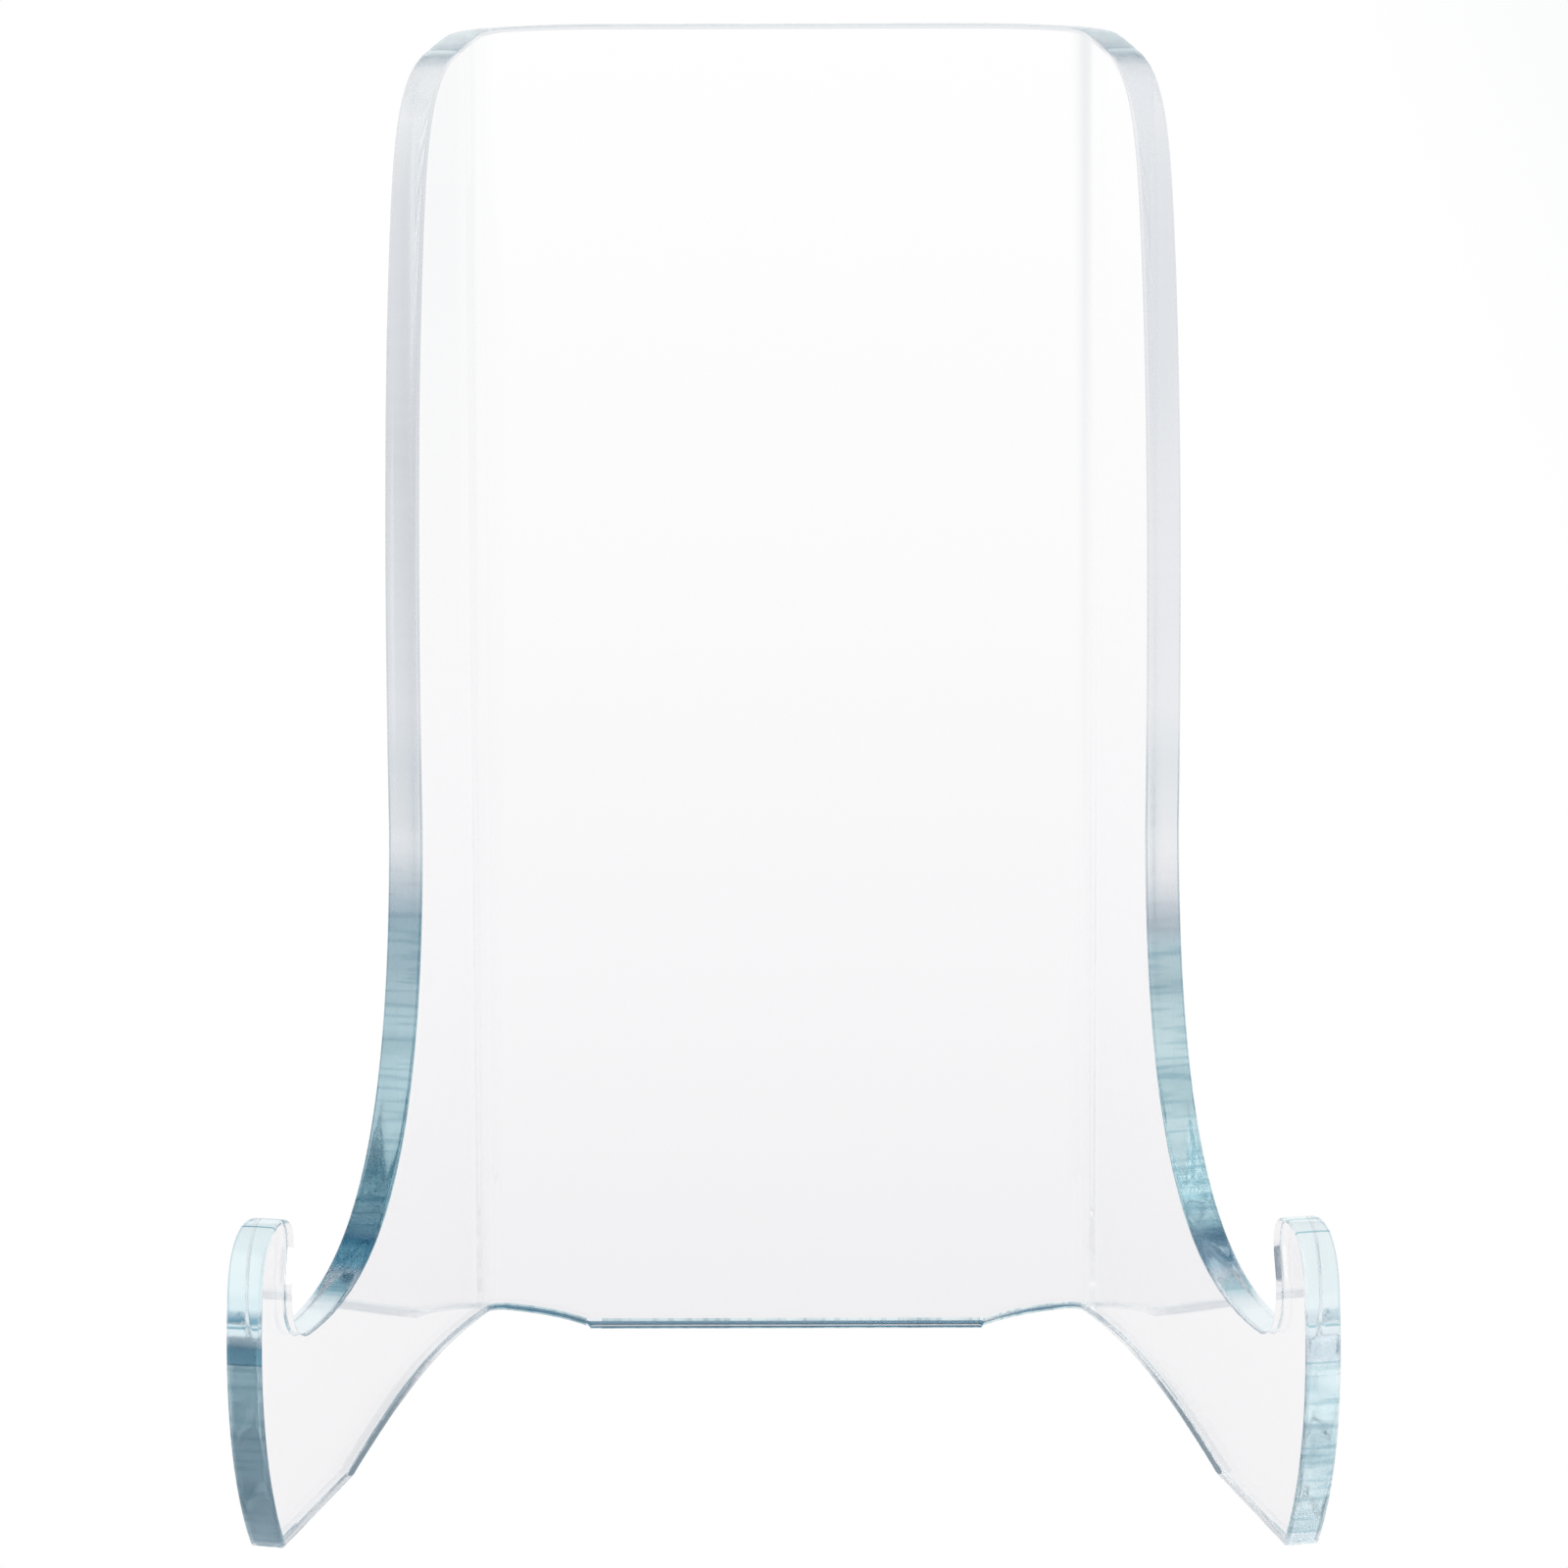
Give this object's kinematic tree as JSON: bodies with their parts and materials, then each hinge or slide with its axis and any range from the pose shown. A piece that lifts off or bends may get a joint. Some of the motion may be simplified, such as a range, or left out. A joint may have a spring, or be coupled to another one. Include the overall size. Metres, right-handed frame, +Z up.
{
  "type": "plate display stand",
  "caption": "Clear acrylic display stand for a small plate, bent from one sheet, with a leaning back panel and upturned hooks on its side wings.",
  "frame": {"origin": "middle of the bounding box, on the table the stand rests on", "axes": "+Z up; -Y towards the front, where the hooks are; +X to the right as seen from the front"},
  "size_m": [0.09, 0.074, 0.1142],
  "materials": {
    "clear_acrylic": "clear and polished, with flame-polished cut edges"
  },
  "bodies": {
    "root": {"stand_sheet": "clear_acrylic"}
  },
  "joints": []
}
